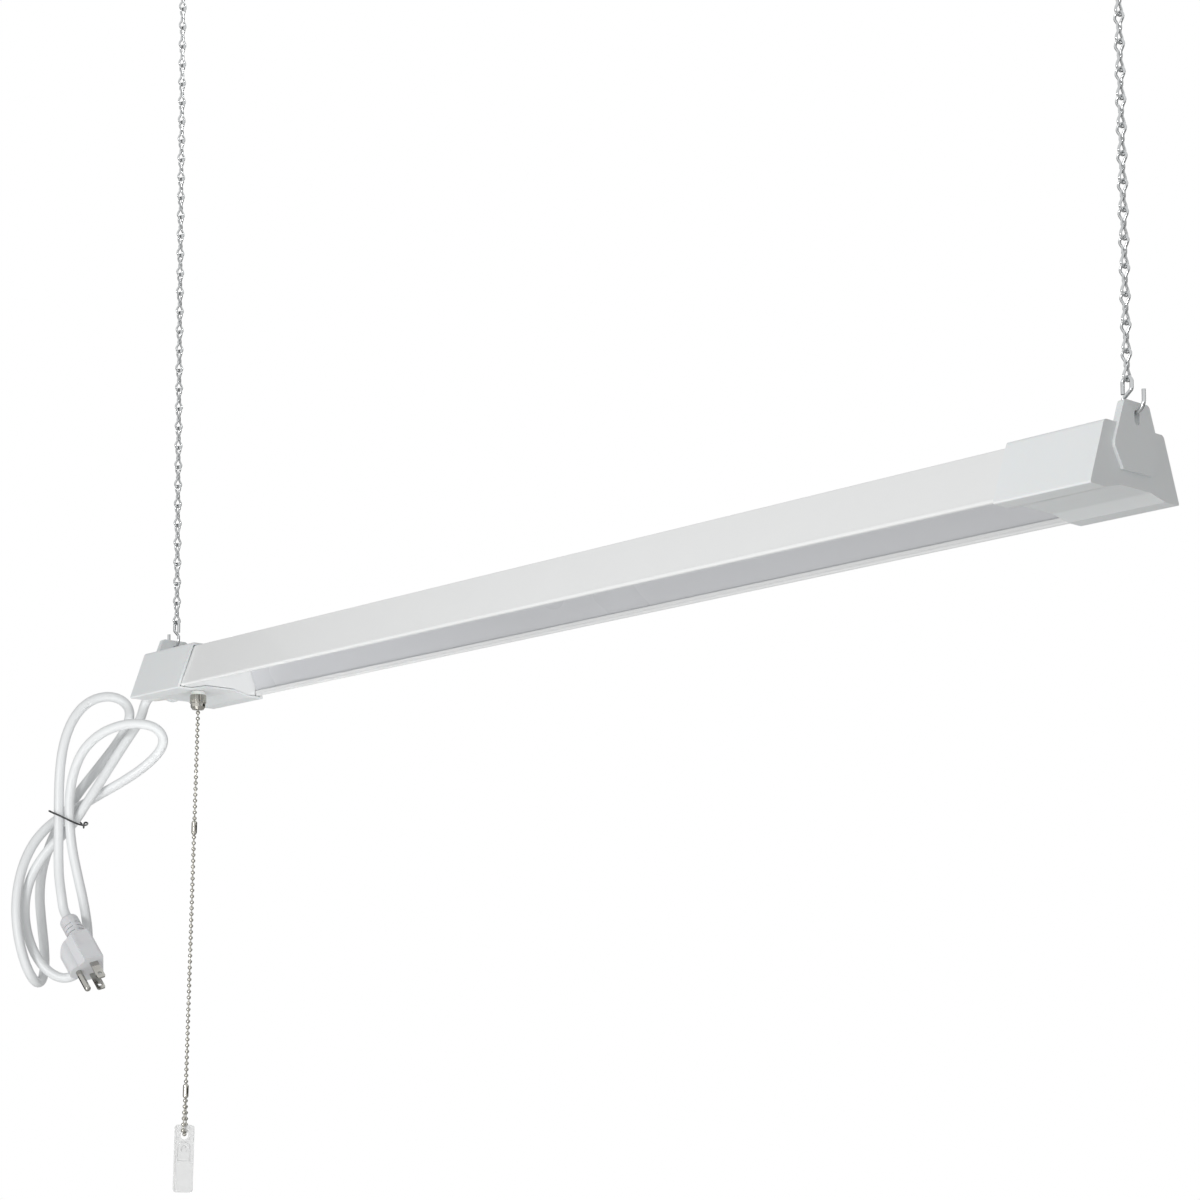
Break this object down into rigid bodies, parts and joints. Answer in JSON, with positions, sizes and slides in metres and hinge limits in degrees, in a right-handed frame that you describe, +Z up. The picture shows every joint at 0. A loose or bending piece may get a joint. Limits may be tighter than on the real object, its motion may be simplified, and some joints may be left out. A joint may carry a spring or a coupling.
{
  "type": "hanging shop light",
  "caption": "White trough shop light on two jack chains and ceiling hooks, with a bead pull-chain switch, clear tag and a tied white cord with a grounded plug.",
  "frame": {"origin": "on the ceiling plane, midway between the two screw hooks", "axes": "+X along the fixture from the switch end to the plain end, +Y across it away from the viewer, +Z up"},
  "size_m": [1.0323, 0.1295, 1.0123],
  "materials": {
    "white_enamel": "satin powder coat on formed steel",
    "tray_white": "high-reflectance satin white",
    "cap_white": "white moulded plastic with a fine grain",
    "zinc_wire": "bright zinc-plated wire",
    "nickel": "nickel plate",
    "cord_white": "white vinyl jacket",
    "moulded_white": "white moulded plastic",
    "switch_black": "black phenolic",
    "clear_tag": "clear moulded plastic",
    "tie_black": "black coated wire",
    "frosted": "frosted diffuser plastic",
    "board": "white solder mask",
    "chip": "phosphor-filled package",
    "brass": "bare brass",
    "galvanised": "galvanised sheet",
    "green_board": "green circuit board",
    "screw_zinc": "zinc-plated screw",
    "supply": "insulated conductors",
    "spring_steel": "spring wire"
  },
  "bodies": {
    "ceiling_hooks": {"left_ceiling_hook": "zinc_wire", "right_ceiling_hook": "zinc_wire"},
    "left_first_link": {"left_top_link": "zinc_wire"},
    "left_chain": {"left_chain_links": "zinc_wire"},
    "left_hanger": {"left_s_hook": "zinc_wire"},
    "right_first_link": {"right_top_link": "zinc_wire"},
    "right_chain": {"right_chain_links": "zinc_wire"},
    "right_hanger": {"right_s_hook": "zinc_wire"},
    "fixture": {"housing_channel": "white_enamel", "reflector_tray": "tray_white", "led_board": "board", "led_chips": "chip", "led_lens": "frosted", "end_cap_switch": "cap_white", "end_cap_plain": "cap_white", "bulkhead_left": "white_enamel", "bulkhead_right": "white_enamel", "cap_screws": "screw_zinc", "driver_case": "galvanised", "driver_board": "green_board", "supply_wires": "supply", "ground_screw": "screw_zinc", "switch_case": "switch_black", "switch_lid": "switch_black", "switch_spring": "spring_steel", "switch_bushing": "nickel", "switch_collar": "moulded_white", "switch_nut": "nickel", "cord_strain_relief": "moulded_white", "cord_lead": "cord_white", "cord_hank": "cord_white", "cord_tail": "cord_white", "cord_tie": "tie_black", "plug_body": "cord_white", "plug_blades": "nickel", "plug_ground_pin": "nickel"},
    "pull_shaft": {"pull_stem": "nickel"},
    "switch_cam": {"switch_rotor": "brass"},
    "first_bead": {"pull_first_bead": "nickel"},
    "pull_string": {"pull_chain_upper": "nickel", "pull_connector_upper": "nickel", "pull_chain_lower": "nickel", "pull_connector_lower": "nickel", "pull_loop": "nickel"},
    "tag": {"pull_tag": "clear_tag"}
  },
  "joints": [
    {"name": "side_swing", "type": "hinge", "parent": "ceiling_hooks", "child": "left_first_link", "pos_m": [-0.453, 0, -0.0327], "axis": [1, 0, 0], "range_deg": [-25, 25]},
    {"name": "long_swing", "type": "hinge", "parent": "left_first_link", "child": "left_chain", "pos_m": [-0.453, 0, -0.05], "axis": [0, 1, 0], "range_deg": [-20, 20]},
    {"name": "left_hanger_turn", "type": "hinge", "parent": "left_chain", "child": "left_hanger", "pos_m": [-0.453, 0, -0.5492], "axis": [0, 1, 0], "range_deg": [-20, 20]},
    {"name": "fixture_tilt", "type": "hinge", "parent": "left_hanger", "child": "fixture", "pos_m": [-0.457, 0, -0.56845], "axis": [1, 0, 0], "range_deg": [-10, 10]},
    {"name": "right_side_swing", "type": "hinge", "parent": "ceiling_hooks", "child": "right_first_link", "pos_m": [0.453, 0, -0.0327], "axis": [1, 0, 0], "range_deg": [-25, 25]},
    {"name": "right_long_swing", "type": "hinge", "parent": "right_first_link", "child": "right_chain", "pos_m": [0.453, 0, -0.05], "axis": [0, 1, 0], "range_deg": [-20, 20]},
    {"name": "right_hanger_turn", "type": "hinge", "parent": "right_chain", "child": "right_hanger", "pos_m": [0.453, 0, -0.5492], "axis": [0, 1, 0], "range_deg": [-20, 20]},
    {"name": "pull", "type": "slide", "parent": "fixture", "child": "pull_shaft", "axis": [0, 0, -1], "range_m": [0, 0.006], "stiffness_N_per_m": 900, "springref_m": -0.003, "deforming": ["switch_spring"]},
    {"name": "cam_turn", "type": "hinge", "parent": "fixture", "child": "switch_cam", "pos_m": [-0.4025, -0.0084, -0.5959], "axis": [0, 1, 0], "range_deg": [0, 90]},
    {"name": "pull_sway_across", "type": "hinge", "parent": "pull_shaft", "child": "first_bead", "pos_m": [-0.41, -0.0084, -0.6255], "axis": [1, 0, 0], "range_deg": [-35, 35]},
    {"name": "pull_sway_along", "type": "hinge", "parent": "first_bead", "child": "pull_string", "pos_m": [-0.41, -0.00852, -0.63005], "axis": [0, 1, 0], "range_deg": [-35, 8]},
    {"name": "tag_swing", "type": "hinge", "parent": "pull_string", "child": "tag", "pos_m": [-0.41, -0.01714, -0.94831], "axis": [-0.7278, 0.6858, 0], "range_deg": [-30, 30]}
  ],
  "couplings": [
    {"joint": "left_hanger_turn", "follows": "long_swing", "ratio": -1},
    {"joint": "right_side_swing", "follows": "side_swing", "ratio": 1},
    {"joint": "right_long_swing", "follows": "long_swing", "ratio": 1},
    {"joint": "right_hanger_turn", "follows": "long_swing", "ratio": -1},
    {"joint": "cam_turn", "follows": "pull", "rad_per_m": 261.8}
  ]
}
